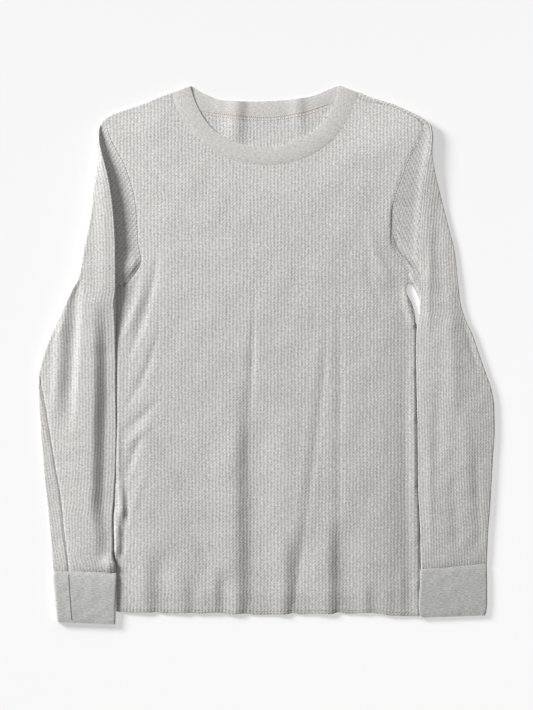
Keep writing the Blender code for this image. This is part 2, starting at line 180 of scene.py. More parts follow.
def crease(x, y, table):
    """Height added by soft troughs (deep above zero) and ridges (below zero).

    Each row runs from its top through its middle to its foot; open is 1 where the foot runs
    out over an edge at full depth and 0 where it fades.
    """
    total = np.zeros(len(x))
    points = np.stack([x, y], 1)
    for i in range(len(table["wide"])):
        top, middle, foot = (
            np.array([table[end + "_x"][i], table[end + "_y"][i]]) for end in ("top", "mid", "foot")
        )
        t = np.linspace(0, 1, PATH_STEPS + 1)[:, None]
        bend = 2 * middle - 0.5 * (top + foot)
        path = (1 - t) ** 2 * top + 2 * t * (1 - t) * bend + t**2 * foot
        reach = 1.6 * table["wide"][i]
        near = ((points > path.min(0) - reach) & (points < path.max(0) + reach)).all(1)
        if not near.any():
            continue
        p = points[near]
        best = np.full(len(p), 1e9)
        place = np.zeros(len(p))
        for j in range(PATH_STEPS):
            way = path[j + 1] - path[j]
            share = np.clip(((p - path[j]) * way).sum(1) / (way**2).sum(), 0, 1)
            gap = np.linalg.norm(p - path[j] - way * share[:, None], axis=1)
            closer = gap < best
            best[closer] = gap[closer]
            place[closer] = (j + share[closer]) / PATH_STEPS
        fade = ease(0, 0.45, place)
        if table["open"][i] < 0.5 * MM:
            fade = fade * ease(0, 0.35, 1 - place)
        width = table["wide"][i] * (0.6 + 0.4 * fade)
        total[near] -= table["deep"][i] * fade * np.exp(-((best / (0.5 * width)) ** 2))
    return total


def one_sided(x, y, table):
    """Height added by folds that rise over lead, drop over fall and level out over trail.

    Each runs down from its top to its foot, at the place where its drop begins.
    """
    total = np.zeros(len(x))
    for i in range(len(table["lead"])):
        at = {name: column[i] for name, column in table.items()}
        share = (at["top_y"] - y) / (at["top_y"] - at["foot_y"])
        u = x - at["top_x"] - (at["foot_x"] - at["top_x"]) * share
        fade = ease(0, 0.4, share)
        if at["open"] < 0.5 * MM:
            fade = fade * ease(0, 0.35, 1 - share)
        drop = (at["high"] + at["deep"]) * ease(0, at["fall"], u)
        before = at["high"] * ease(-at["lead"], 0, u)
        after = at["deep"] * ease(0, at["trail"], u - at["fall"])
        total += fade * (before + after - drop)
    return total


def on_grid(relief, x, y, *details):
    """Heights that a function of x and y gives at a grid of places."""
    return relief(x.ravel(), y.ravel(), *details).reshape(x.shape)


def flattened(turn):
    """How far out and how far over a flattened half turn is, each from nought to one."""
    side = np.cos(turn)
    return np.maximum(np.sin(turn), 0) ** 0.6, (1 - np.sign(side) * np.abs(side) ** 0.6) / 2


def unevenness(x, y, size, height, turn):
    """Gentle lumps of about the given size, the same every time."""
    k = 2 * math.pi / size
    u, v = turned(x, y, -turn)
    wave = np.sin(k * u + 1.3 + 1.7 * np.sin(0.61 * k * v)) * np.sin(0.83 * k * v + 0.4)
    wave = wave + 0.5 * np.sin(1.9 * k * v + 2.1 * np.sin(0.7 * k * u + 0.9))
    return height * wave / 1.5


def placed(name, data):
    """A new object with the given data, in the scene."""
    thing = bpy.data.objects.new(name, data)
    bpy.context.scene.collection.objects.link(thing)
    return thing


def sheet_object(name, points, faces, grain, wall, material, weld=0.0):
    """A thin cloth shell on the given middle surface, with its grain as a UV map in metres."""
    mesh = bpy.data.meshes.new(name)
    mesh.from_pydata(points.tolist(), [], faces.tolist())
    mesh.update()
    layer = mesh.uv_layers.new(name="grain")
    layer.data.foreach_set("uv", np.ascontiguousarray(grain, np.float32).ravel())
    if weld:
        joined = bmesh.new()
        joined.from_mesh(mesh)
        bmesh.ops.remove_doubles(joined, verts=joined.verts, dist=weld)
        joined.to_mesh(mesh)
        joined.free()
    mesh.shade_smooth()
    mesh.materials.append(material)
    piece = placed(name, mesh)
    thick = piece.modifiers.new("wall", "SOLIDIFY")
    thick.thickness = wall
    thick.offset = 0.0
    thick.use_rim = True
    bpy.context.view_layer.objects.active = piece
    piece.select_set(True)
    bpy.ops.object.modifier_apply(modifier="wall")
    piece.select_set(False)
    mesh.set_sharp_from_angle(angle=SHARP_EDGE)
    return piece


def fill_outline(outline, wide, tall):
    """Points and triangles that fill a closed outline, closer together near its edge."""
    points = [outline]
    ring_insets = (0.7 * MM, 1.5 * MM, 2.6 * MM)
    for inset in ring_insets:
        ring = moved_aside(np.concatenate([outline[-1:], outline, outline[:1]]), inset)[1:-1]
        keep = within(ring, outline) & (distance_to(ring, outline) > 0.93 * inset)
        points.append(ring[keep])
    low, high = outline.min(0), outline.max(0)
    xs = np.arange(low[0], high[0], wide)
    ys = np.arange(low[1], high[1], tall)
    grid_x, grid_y = np.meshgrid(xs, ys)
    grid_x = grid_x + (np.arange(len(ys)) % 2)[:, None] * wide / 2
    grid = np.stack([grid_x.ravel(), grid_y.ravel()], 1)
    grid = grid[within(grid, outline)]
    grid = grid[distance_to(grid, outline) > ring_insets[-1] + 1 * MM]
    points.append(grid)
    points = np.concatenate(points)
    squash = wide / tall
    flat = [Vector((x, y * squash)) for x, y in points]
    made = delaunay_2d_cdt(flat, [], [list(range(len(outline)))], 1, 1e-7)
    spots = np.array([[p.x, p.y / squash] for p in made[0]])
    faces = np.array([list(face) for face in made[2]])
    a, b, c = (spots[faces[:, i]] for i in range(3))
    area = (b[:, 0] - a[:, 0]) * (c[:, 1] - a[:, 1]) - (b[:, 1] - a[:, 1]) * (c[:, 0] - a[:, 0])
    faces[area < 0] = faces[area < 0][:, ::-1]
    return spots, faces


BODY_EDGE = rows("""
y left right
-327 -187.4 191.8
-306 -187.4 190.4
-287 -187.0 192.4
-262 -187.2 191.8
-250 -189.6 191.4
-240 -190.6 191.4
-222 -190.2 190.8
-205 -191.3 190.4
-190 -189.4 189.4
-180 -190.0 188.8
-161 -188.5 188.2
-94 -186.5 187.6
-42 -187.4 186.4
12 -187.2 186.1
42 -185.3 186.0
51 -184.9 185.3
58 -184.6 183.8
66 -183.8 180.6
73 -182.6 176.6
80 -180.4 174.6
85 -177.0 175.6
89 -173.4 177.2
96 -168.6 178.2
102 -163.8 177.4
107 -160.4 175.4
112 -157.6 172.6
118 -156.6 169.2
130 -158.6 159.6
138 -160.2 156.0
150 -161.0 154.9
175 -162.2 155.6
198 -165.2 160.2
219 -171.0 167.8
241 -179.2 175.8
255 -187.0 183.6
272 -195.4 192.2
284 -198.8 197.2
""")

HEM = rows("""
x y
-187.4 -320.9
-170 -322.3
-145 -322.4
-138 -321.4
-128 -323.2
-100 -323.2
-95 -322.4
-86 -323.6
-62 -322.4
-55 -322.9
-42 -324.6
-27 -323.4
-12 -325.2
10 -324.6
22 -324.9
33 -323.0
44 -324.6
62 -323.6
80 -324.2
90 -321.9
101 -323.8
123 -323.0
131 -322.8
142 -323.8
158 -326.2
175 -326.6
191.0 -327.0
""")

SHOULDER = rows("""
left_x left_y right_x right_y seam_x seam_y
-111.0 329.4 107.2 329.4 107.2 323.0
-120 327.2 116 327.4 116 320.4
-133 322.4 130 321.9 127 316.0
-145 317.0 142 318.0 140 313.3
-158 312.2 155 314.0 153 311.0
-170 308.2 167 309.0 165 306.6
-183 304.0 180 303.0 177 300.6
-195 298.9 192 296.6 187 295.0
-203.0 293.4 200.5 290.6 197.2 285.6
-207.4 288.0 203.5 287.0 200.6 283.0
""")

NECK_FRONT = rows("""
seam_x seam_y free_x free_y
-118.6 327.6 -95.6 336.4
-111 305 -89.5 317
-101 287 -80.5 299
-89 272.6 -69.0 284
-65 253.6 -55.5 273.6
-31 239.3 -30.0 262.4
1 235.8 4.0 258.2
33 241 38.0 267.6
68 257 62.0 280.6
93 281 77.5 298.6
109 309 87.4 318.4
114.4 327.6 91.4 336.4
""")

NECK_BACK = rows("""
seam_x seam_y free_x free_y
-118.6 327.6 -95.6 336.4
-98 311 -83.0 328.4
-74 302 -70.0 322.6
-34 297 -56.0 317.8
-3 295.2 -18.0 316.0
39 300 23.0 317.8
76 311 55.0 322.4
98 318.5 80.0 332.0
114.4 327.6 91.4 336.4
""")


def edge_run(table, name, low, high, count):
    """Points up one side of a panel, from the hem."""
    y = np.linspace(low, high, count)
    return run_through(*columns_at(table, y, name), y, RUN_STEP)


hem = run_through(HEM["x"], HEM["y"], RUN_STEP)
side_right = edge_run(BODY_EDGE, "right", -327 * MM, 284 * MM, 260)
side_left = edge_run(BODY_EDGE, "left", -321 * MM, 284 * MM, 260)
fold_left, fold_right, seam_right = (
    run_through(SHOULDER[name + "_x"], SHOULDER[name + "_y"], RUN_STEP)
    for name in ("left", "right", "seam")
)
neck_front = run_through(NECK_FRONT["seam_x"], NECK_FRONT["seam_y"], 2.0 * MM)
neck_back = run_through(NECK_BACK["seam_x"], NECK_BACK["seam_y"], RUN_STEP)


def calc(tree, operation, first, second=None, third=None):
    """A Math node on numbers or sockets."""
    node = tree.nodes.new("ShaderNodeMath")
    node.operation = operation
    for socket, value in zip(node.inputs, (first, second, third)):
        if value is None:
            continue
        if isinstance(value, (int, float)):
            socket.default_value = value
        else:
            tree.links.new(value, socket)
    return node.outputs[0]


def speckle(tree, vector, scale, detail, stretch=(1, 1, 1)):
    """A Noise node on a stretched vector; its value is about a half, give or take."""
    mapping = tree.nodes.new("ShaderNodeMapping")
    mapping.inputs["Scale"].default_value = stretch
    tree.links.new(vector, mapping.inputs["Vector"])
    noise = tree.nodes.new("ShaderNodeTexNoise")
    noise.inputs["Scale"].default_value = scale
    noise.inputs["Detail"].default_value = detail
    tree.links.new(mapping.outputs["Vector"], noise.inputs["Vector"])
    return noise.outputs["Fac"]


def tinted(tree, colour, amount):
    """A colour multiplied by a number."""
    node = tree.nodes.new("ShaderNodeVectorMath")
    node.operation = "SCALE"
    tree.links.new(colour, node.inputs[0])
    tree.links.new(amount, node.inputs["Scale"])
    return node.outputs["Vector"]


def knit_group(name, inputs):
    """An empty node group for a knit, with a grain vector, a yarn colour and numbers."""
    group = bpy.data.node_groups.new(name, "ShaderNodeTree")
    face = group.interface
    face.new_socket("Grain", in_out="INPUT", socket_type="NodeSocketVector")
    face.new_socket("Yarn", in_out="INPUT", socket_type="NodeSocketColor")
    for label, value in inputs:
        socket = face.new_socket(label, in_out="INPUT", socket_type="NodeSocketFloat")
        socket.default_value = value
    face.new_socket("Color", in_out="OUTPUT", socket_type="NodeSocketColor")
    face.new_socket("Height", in_out="OUTPUT", socket_type="NodeSocketFloat")
    return group, group.nodes.new("NodeGroupInput"), group.nodes.new("NodeGroupOutput")


waffle_group, given, result = knit_group(
    "waffle knit",
    (("Rib", 4.28 * MM), ("Course", 4.1 * MM), ("Painted Pit Shade", 0.15), ("Melange", 0.82)),
)
grain = given.outputs["Grain"]
number, noise = partial(calc, waffle_group), partial(speckle, waffle_group, grain)
split = waffle_group.nodes.new("ShaderNodeSeparateXYZ")
waffle_group.links.new(grain, split.inputs[0])
drift = number("MULTIPLY", number("SUBTRACT", noise(45, 1), 0.5), 3.0 * MM)
across = number("DIVIDE", number("ADD", split.outputs["X"], drift), given.outputs["Rib"])
along = number("DIVIDE", number("ADD", split.outputs["Y"], drift), given.outputs["Course"])
rib = number("COSINE", number("MULTIPLY", across, 2 * math.pi))
bar = number("COSINE", number("MULTIPLY", along, 2 * math.pi))
cell = number("MULTIPLY", rib, number("MULTIPLY_ADD", bar, 0.5, 0.66))
stitch = number("COSINE", number("MULTIPLY", along, 6 * math.pi))
fibre = noise(620, 3, (0.8, 1.0, 1.0))
flake = noise(330, 2, (0.7, 1.2, 1.0))
mottle = noise(28, 2)
# Painted shade: the colour is darkened in each waffle cell's pits, scaled by the pit shade input,
# on top of the bump. The fibre and flake flecks and the mottle are the melange yarn's own tone.
shade = number("MULTIPLY", cell, given.outputs["Painted Pit Shade"])
fleck = number("ADD", number("SUBTRACT", fibre, 0.5), number("SUBTRACT", flake, 0.5))
shade = number("MULTIPLY_ADD", fleck, given.outputs["Melange"], shade)
shade = number("MULTIPLY_ADD", number("SUBTRACT", mottle, 0.5), 0.12, shade)
shade = number("ADD", shade, 1.0)
waffle_group.links.new(tinted(waffle_group, given.outputs["Yarn"], shade), result.inputs["Color"])
height = number("MULTIPLY_ADD", number("MULTIPLY", stitch, rib), 0.06, cell)
height = number("MULTIPLY_ADD", fibre, 0.5, height)
waffle_group.links.new(height, result.inputs["Height"])


def matt_material(name, roughness, specular, colour=None):
    """A material, its node tree and its Principled shader."""
    material = bpy.data.materials.new(name)
    material.use_nodes = True
    shader = material.node_tree.nodes["Principled BSDF"]
    shader.inputs["Roughness"].default_value = roughness
    shader.inputs["Specular IOR Level"].default_value = specular
    if colour:
        shader.inputs["Base Color"].default_value = colour
    return material, material.node_tree, shader


def knit_material(name, group, yarn, values, bump, relief):
    """Cotton knit: matt, with a soft sheen of loose fibres, its relief from the group."""
    material, tree, shader = matt_material(name, 0.93, 0.2)
    shader.inputs["Sheen Weight"].default_value = 0.12
    shader.inputs["Sheen Roughness"].default_value = 0.6
    knit = tree.nodes.new("ShaderNodeGroup")
    knit.node_tree = group
    knit.inputs["Yarn"].default_value = yarn
    for label, value in values.items():
        knit.inputs[label].default_value = value
    grain = tree.nodes.new("ShaderNodeUVMap")
    grain.uv_map = "grain"
    tree.links.new(grain.outputs["UV"], knit.inputs["Grain"])
    tree.links.new(knit.outputs["Color"], shader.inputs["Base Color"])
    lift = tree.nodes.new("ShaderNodeBump")
    lift.inputs["Strength"].default_value = bump
    lift.inputs["Distance"].default_value = relief
    tree.links.new(knit.outputs["Height"], lift.inputs["Height"])
    tree.links.new(lift.outputs["Normal"], shader.inputs["Normal"])
    return material


WAFFLE_GREY = (0.552, 0.546, 0.532, 1.0)
waffle_cloth = knit_material("waffle cloth", waffle_group, WAFFLE_GREY, {}, 0.4, 0.3 * MM)


def turned_over(outer, edge, start, lift, steps=7):
    """A strip that turns over an outline's edge onto the other layer, as rows of points.

    The outline is the outside of the turn; the strip ends at the given edge.
    """
    count = min(len(outer), len(edge))
    rim, end = resampled(outer, count), resampled(edge, count)
    inward = end - rim
    inward /= np.linalg.norm(inward, axis=1)[:, None]
    radius = abs(lift) / 2
    centre = rim + inward * (radius + CLOTH_WALL / 2)
    lines = []
    for i in range(steps + 1):
        reached, over = flattened(math.pi * i / steps)
        spot = centre - inward * radius * reached
        height = start + lift * over
        lines.append(np.column_stack([spot, np.full(count, height)]))
    for part in (0.5, 1.0):
        spot = centre + (end - centre) * part
        sink = 0.5 * MM if part == 1.0 else 0.0
        lines.append(np.column_stack([spot, np.full(count, start + lift - np.sign(lift) * sink)]))
    return lines


def add_strip(spots, level, faces, strip, lean, flip=False):
    """A panel with its turned strip sewn on as triangles, and its flat pattern in metres."""
    start, count = len(spots), len(strip[0])
    points = np.concatenate([np.column_stack([spots, level])] + strip)
    pattern = points[:, :2].copy()
    quads = []
    gone = 0.0
    for r in range(len(strip) - 1):
        a = start + r * count + np.arange(count - 1)
        b = a + count
        quads += [np.stack([a, a + 1, b + 1], 1), np.stack([a, b + 1, b], 1)]
        gone += np.linalg.norm(strip[r + 1] - strip[r], axis=1).mean()
        first = start + (r + 1) * count
        pattern[first : first + count] = strip[0][:, :2] + [lean * gone, 0.93 * gone]
    quads = np.concatenate(quads)
    faces = np.concatenate([faces, quads[:, ::-1] if flip else quads])
    return points, faces, pattern[faces.ravel()]


BACK_RIDGES = rows("""
top_x top_y mid_x mid_y foot_x foot_y wide deep open
38 345 38 312 42 280 15 -0.8 0
-60 345 -58 318 -54 280 12 -0.6 0
-96 350 -78 296 -34 252 18 -0.9 0
""")

BACK_FOLDS = rows("""
top_x top_y foot_x foot_y lead fall trail high deep open
-34 380 -40 236 22 16 3 2.7 0 0
40 380 44 236 18 10 3 0.8 0 0
""")

TIP_RISE = rows("""
top_x top_y mid_x mid_y foot_x foot_y wide deep open
215 430 201 300 178 185 110 -6.5 0
190 262 168 188 160 108 64 -2.4 0
""")


def back_rise(x, y):
    """How far the back stands above its own level."""
    return np.maximum(0, crease(x, y, BACK_RIDGES) + one_sided(x, y, BACK_FOLDS))


BACK_EDGE = rows("""
y left right
-327 -187.0 191.0
-275 -187.5 192.6
-262 -189.5 193.6
-247 -194.4 194.4
-205 -194.2 193.6
-161 -192.0 191.0
-94 -190.4 190.4
-42 -191.0 189.4
12 -191.0 189.2
36 -190.4 188.0
44 -190.2 185.2
58 -189.8 183.2
66 -189.2 180.0
73 -188.6 176.0
80 -187.8 174.0
85 -185.0 175.2
89 -177.0 177.2
""")

back_left = edge_run(BACK_EDGE, "left", -320 * MM, 89 * MM, 200)
back_right = edge_run(BACK_EDGE, "right", -325 * MM, 89 * MM, 200)
back_outline = np.concatenate(
    [
        hem[1:-1] + [0, 1.2 * MM],
        back_right[:-1],
        side_right[side_right[:, 1] > 89 * MM],
        (fold_right - [0, 1.9 * MM])[::-1],
        (neck_back + [0, 2.5 * MM])[::-1][4:-4],
        fold_left - [0, 4.5 * MM],
        side_left[side_left[:, 1] > 89 * MM][::-1][3:],
        back_left[::-1][1:],
    ]
)
spots, faces = fill_outline(back_outline, 4.5 * MM, 7 * MM)
strip = turned_over(fold_right, seam_right, BACK_LEVEL, FRONT_LEVEL - BACK_LEVEL)
for line in strip:
    share = np.clip((line[:, 2] - BACK_LEVEL) / (FRONT_LEVEL - BACK_LEVEL), 0, 1)
    line[:, 2] += share * crease(line[:, 0], line[:, 1], TIP_RISE)
sewn = add_strip(spots, BACK_LEVEL + back_rise(*spots.T), faces, strip, 0.35)
back = sheet_object("back_panel", *sewn, CLOTH_WALL, waffle_cloth)
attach(back, "root")
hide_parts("back")

# ---------------------------------------------------------------------------------------
# Front panel. The same waffle knit with a deeper neck, lying on the back with soft wrinkles
# from the chest to the hem. At the wearer's right shoulder it turns over onto the back.

FRONT_FOLDS = rows("""
top_x top_y mid_x mid_y foot_x foot_y wide deep open
-16 105 -16 20 -20 -80 3.6 0.9 0
-18 40 -19 -20 -24 -130 10 0.7 0
79 70 66 -80 30 -345 8 0.6 1
66 40 52 -90 16 -345 12 -0.3 1
88 120 92 -40 88 -345 8 0.6 1
78 60 80 -90 74 -345 12 -0.3 1
-136 145 -146 70 -182 -25 8 1.6 0
-152 120 -162 60 -186 10 8 -1.2 0
-182 110 -180 70 -182 20 12 1.4 0
-128 60 -150 -20 -184 -75 8 1.1 0
-130 -50 -155 -78 -184 -98 8 1.3 0
-138 -80 -160 -100 -184 -122 8 -1.0 0
-150 -95 -166 -125 -180 -170 8 1.3 0
-140 -130 -160 -170 -172 -225 9 -0.7 0
-184 280 -140 230 -88 160 10 0.6 0
-168 290 -120 245 -70 185 12 -0.5 0
128 165 140 120 165 78 12 -0.9 0
120 130 132 90 150 40 10 0.6 0
168 -250 168 -300 168 -345 10 -0.6 1
173 88 175 70 183 38 8 -2.0 1
185.5 70 184.5 -60 186 -200 11 -1.3 0
184 -60 186 -200 190 -345 12 -1.2 1
172 40 173 -120 176 -300 10 0.4 0
-186.5 -70 -185 -120 -186 -170 6 -1.3 0
-185 -145 -181.0 -185 -185 -218 7 -2.6 0
-189.0 -185 -186.5 -225 -188.5 -265 7 -2.8 0
-186 -158 -185 -166 -184.5 -174 6 -1.2 0
-182 -186 -180.5 -195 -181.5 -204 7 -1.4 0
-187 -212 -185.5 -219 -186 -226 6 -1.0 0
-187.5 -236 -186 -243 -186.5 -250 6 -1.0 0
-180 -138 -174.2 -195 -178.5 -225 4.2 1.7 0
-180 -215 -178.5 -238 -185 -264 4.2 1.5 0
181 -12 181 -20 181.5 -28 6 -0.8 0
183 -70 183 -80 183 -90 6 -0.8 0
183.5 -150 183.5 -160 184 -170 6 -0.8 0
185 -216 186.5 -226 186 -236 7 -0.9 0
186 -276 187.5 -286 186 -296 7 -1.0 0
30 -20 70 -34 150 -32 4 0.25 0
-40 -136 20 -138 60 -137 4 0.25 0
-150 -60 -120 -130 -60 -210 16 0.5 0
-110 -180 -86 -230 -70 -280 12 0.5 0
""")

FRONT_DROPS = rows("""
top_x top_y foot_x foot_y lead fall trail high deep open
-41 -10 -39 -330 36 22 46 1.6 2.6 1
76 -195 78 -335 22 20 30 1.0 2.2 1
20 -215 21 -335 20 19 28 0.9 2.0 1
-67 -262 -65 -335 14 13 20 0.6 1.6 1
-154 -240 -152 -335 20 20 26 0.7 2.0 1
-104 -275 -103 -335 12 12 16 0.3 1.0 1
122 -280 123 -335 12 12 16 0.3 0.9 1
""")


FRONT_LOW = FRONT_LEVEL + 0.3 * MM


def front_level(x, y, outline, seams):
    """Height of the front's middle surface: puffed in the middle, creased, low at its seams."""
    spots = np.stack([x, y], 1)
    rim = distance_to(spots, outline)
    inner = ease(0, 45 * MM, distance_to(spots, seams, closed=False))
    low = ease(0, 1, (-y - 20 * MM) / (220 * MM))
    over_hem = 0.4 + 0.6 * ease(0, 30 * MM, y + 324 * MM)
    height = (1.6 + 1.4 * low) * MM * inner * over_hem
    height += unevenness(x, y, 90 * MM, 0.35 * MM, 0.5) * inner
    height += unevenness(x, y, 31 * MM, 0.10 * MM, 1.1) * inner
    height += crease(x, y, FRONT_FOLDS) + one_sided(x, y, FRONT_DROPS) + crease(x, y, TIP_RISE)
    height = np.where(height > 0, height, 0.3 * height)
    height = np.maximum(height, -0.45 * MM)
    neck = ease(118 * MM, 112 * MM, np.abs(x)) * ease(225 * MM, 232 * MM, y)
    roll = 0.55 * MM * np.exp(-((rim / (1.4 * MM)) ** 2)) * (1 - neck)
    return FRONT_LOW + height - roll


front_outline = np.concatenate(
    [
        hem[:-1],
        side_right[:-2],
        moved_aside(seam_right, 0.35 * MM)[::-1],
        (neck_front + [0, 0.8 * MM])[::-1][4:-4],
        fold_left - [0, 1.9 * MM],
        side_left[::-1][1:-1],
    ]
)
spots, faces = fill_outline(front_outline, 3.2 * MM, 5.2 * MM)
fold_line = fold_left - [0, 1.9 * MM]
front_seams = front_outline[len(hem) - 1 :]
level = front_level(spots[:, 0], spots[:, 1], front_outline, front_seams)
near_fold = distance_to(spots, fold_line, closed=False)
level = level + 0.55 * MM * np.exp(-((near_fold / (1.4 * MM)) ** 2))
level = np.where(near_fold < 0.05 * MM, FRONT_LOW, level)
strip = turned_over(fold_left, fold_left - [0, 9 * MM], FRONT_LOW, BACK_LEVEL - FRONT_LOW)
sewn = add_strip(spots, level, faces, strip, -0.35, flip=True)
front = sheet_object("front_panel", *sewn, CLOTH_WALL, waffle_cloth, weld=0.15 * MM)
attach(front, "root")
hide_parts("front")

# ---------------------------------------------------------------------------------------
# Sleeves. Each is one tapered piece of the same knit, closed by an underarm seam and set
# into the armhole. It lies folded down beside the body, over its own cap along a ridge.

SLEEVE_RIGHT = rows("""
y inner ridge outer crest middle low
-273.6 -187.4 -186 -266.2 4.4 4.4 3.6
-270.4 -187.6 -186 -266.6 7.0 6.6 4.8
-262 -188.0 -187 -267.0 9.6 8.0 5.0
-254 -190.6 -190 -267.6 8.0 8.4 4.4
-247 -191.6 -190 -268.4 6.6 8.7 4.0
-232 -191.4 -190 -269.4 5.9 8.9 3.8
-207 -192.0 -190 -271.6 5.2 9.3 3.8
-185 -190.6 -187 -274.0 4.4 9.7 4.0
-161 -189.0 -187 -276.6 4.3 10.1 4.4
-128 -187.8 -186 -279.6 4.2 10.6 5.0
-94 -187.2 -185 -282.2 4.2 11.0 5.5
-60 -187.6 -186 -284.4 4.3 11.3 6.0
-40 -187.8 -188 -285.2 4.4 11.3 6.3
-27 -187.8 -188 -284.8 4.6 11.3 6.6
-7 -187.8 -188 -280.6 5.0 11.2 7.1
12 -187.8 -188 -274.4 5.8 11.1 7.6
30 -187.7 -188 -267.0 7.4 11.0 8.1
50 -187.8 -188 -258.0 9.6 11.4 8.4
66 -187.6 -188 -250.8 11.6 12.0 8.8
82 -186.4 -188 -243.4 12.8 12.4 10.2
96 -170.0 -188 -235.8 13.6 13.2 11.0
112 -158.0 -188 -232.4 14.3 13.9 11.8
135 -160.0 -188.2 -228.6 14.8 14.4 12.4
158 -161.5 -189.2 -223.6 15.0 14.6 12.7
183 -163.0 -191.2 -219.6 15.0 14.6 12.8
208 -167.0 -194.6 -217.4 14.4 14.0 12.4
232 -175.5 -199.6 -213.4 13.4 13.0 11.4
252 -185.0 -205.0 -211.0 11.4 11.2 10.2
270 -194.0 -208.0 -212.4 8.4 8.2 7.6
280 -197.6 -208.0 -211.8 5.6 5.4 5.0
287 -200.0 -206.0 -208.4 3.0 2.9 2.7
""")

SLEEVE_LEFT = rows("""
y inner ridge outer crest middle low
-267.4 193.2 196 275.4 3.0 3.1 3.0
-264.0 193.1 196 275.6 4.1 4.5 4.1
-256 192.9 196 275.8 4.4 5.3 4.7
-247 192.6 196 276.2 4.0 5.4 4.8
-222 192.2 196 277.2 3.7 5.7 5.0
-192 190.6 194 279.6 3.5 5.9 5.1
-161 189.1 193 281.4 3.5 6.0 5.2
-128 188.7 192 283.2 3.5 6.1 5.2
-94 188.5 192 285.4 3.5 6.2 5.2
-62 187.7 191 284.6 3.5 6.3 5.2
-45 187.3 190 281.8 3.5 6.3 5.2
-25 187.1 190 275.0 3.6 6.3 5.2
0 187.0 190 266.3 3.8 6.3 5.2
26 187.5 190 257.4 4.0 6.3 5.2
43 188.9 191 249.2 4.2 6.2 5.2
52 190.8 191 246.0 4.4 6.1 5.1
61 191.3 192 243.4 4.6 6.0 5.0
69 190.4 193 242.0 4.7 5.9 4.9
77 187.6 193 241.0 4.8 5.8 4.9
84.5 183.6 193 240.3 4.9 5.8 4.9
92 178.3 192.6 239.4 4.9 5.8 4.9
107 176.0 192 238.0 4.4 5.3 4.4
130 160.5 191.0 235.2 4.1 4.9 4.1
158 155.2 192.2 228.2 4.1 4.8 4.1
183 156.8 194.2 221.8 4.6 5.1 4.6
208 164.0 196.6 215.6 7.2 7.4 7.0
232 172.8 199.6 210.2 9.6 9.6 9.4
252 182.5 203.0 207.6 11.0 11.0 10.9
270 191.6 205.5 208.4 11.2 11.2 11.0
283 197.4 204.0 206.6 10.4 10.4 10.3
289 199.4 202.0 203.6 9.6 9.6 9.5
""")

CAP_FOLDS = rows("""
top_x top_y mid_x mid_y foot_x foot_y wide deep open
156 156 168 131 195 104 8 3.0 1
157 134 172 113 194 93 12 -3.0 1
-150 124 -170 110 -194 97 22 -2.8 1
-158 142 -176 128 -196 120 8 0.5 1
""")

SLEEVE_FOLDS = rows("""
top_x top_y mid_x mid_y foot_x foot_y wide deep open
-222 220 -214 130 -216 60 16 0.5 0
-234 -130 -230 -180 -226 -235 14 0.3 0
-194 -246 -195 -258 -193 -274 12 -1.2 1
214 200 214 130 222 50 16 0.9 0
206 160 203 90 203 0 9 -0.7 0
230 100 232 10 236 -100 20 -1.3 0
247 60 254 20 268 -30 11 1.0 0
216 -20 214 -90 214 -160 16 1.0 0
246 -60 250 -120 252 -200 18 -0.8 0
262 -110 264 -180 268 -262 12 0.7 0
232 -130 236 -200 240 -262 14 0.7 0
203 -80 204 -170 206 -250 10 -0.7 0
""")

TROUGH_DRIFT = rows("""
y out
-272 -9
-257 -4
-232 -5
-182 2
-94 3
-50 1
100 0
""")

SLEEVE_DROPS = rows("""
top_x top_y foot_x foot_y lead fall trail high deep open
-252 124 -266 -110 10 18 10 1.6 2.8 0
""")

UNDERARM_SEAM = rows("""
y x
-18 -285.5
-42 -280.4
-67 -275.8
-95 -271.0
-137 -264.2
-179 -256.8
-219 -252.9
-259 -248.0
-271 -247.3
""")


def half_round(start, end, bulge, count, whole=False):
    """Points on flattened half turns between two (out, z) columns, the end left out."""
    reached, share = flattened(np.pi * np.arange(count + whole) / count)
    out, z = (a + (b - a) * share for a, b in zip(start, end))
    return out + bulge * reached, z


def straight(start, end, count):
    """Evenly spaced points between two (out, z) columns, the end left out."""
    share = np.arange(count) / count
    return [a + (b - a) * share for a, b in zip(start, end)]


def side_by_side(parts):
    """The outs and the heights of several parts of a section, in order."""
    return (np.concatenate(columns, 1) for columns in zip(*parts))


def tube_faces(rows_long, columns_round, closed, flip):
    """Quads of a grid of points, first with closed rows joined and then with none joined."""
    own = np.arange(rows_long * columns_round).reshape(rows_long, columns_round)
    joined = own.copy()
    joined[closed, -1] = joined[closed, 0]
    for index in (joined, own):
        quads = np.stack([index[:-1, :-1], index[:-1, 1:], index[1:, 1:], index[1:, :-1]], 2)
        yield (quads[:, :, ::-1] if flip else quads).reshape(-1, 4)


def way_round(points):
    """Distance along each row of points from its start."""
    steps = np.linalg.norm(np.diff(points, axis=1), axis=2)
    return np.concatenate([np.zeros((len(points), 1)), np.cumsum(steps, 1)], 1)


def tube_object(name, points, joined, grain, wall, material):
    """A cloth tube on a grid of points."""
    used, remade = np.unique(joined, return_inverse=True)
    points, faces = points.reshape(-1, 3)[used], remade.reshape(-1, 4)
    return sheet_object(name, points, faces, grain.reshape(-1, 2), wall, material)


CAP_COLUMNS = 26
TOP_COLUMNS = 84
SLEEVE_TRAITS = {
    -1: {"edge": 0.5, "seam_lift": 0.0, "headroom": 1.9 * MM, "slant": -0.035},
    1: {"edge": 0.12, "seam_lift": 0.5 * MM, "headroom": 0.15 * MM, "slant": 0.085},
}


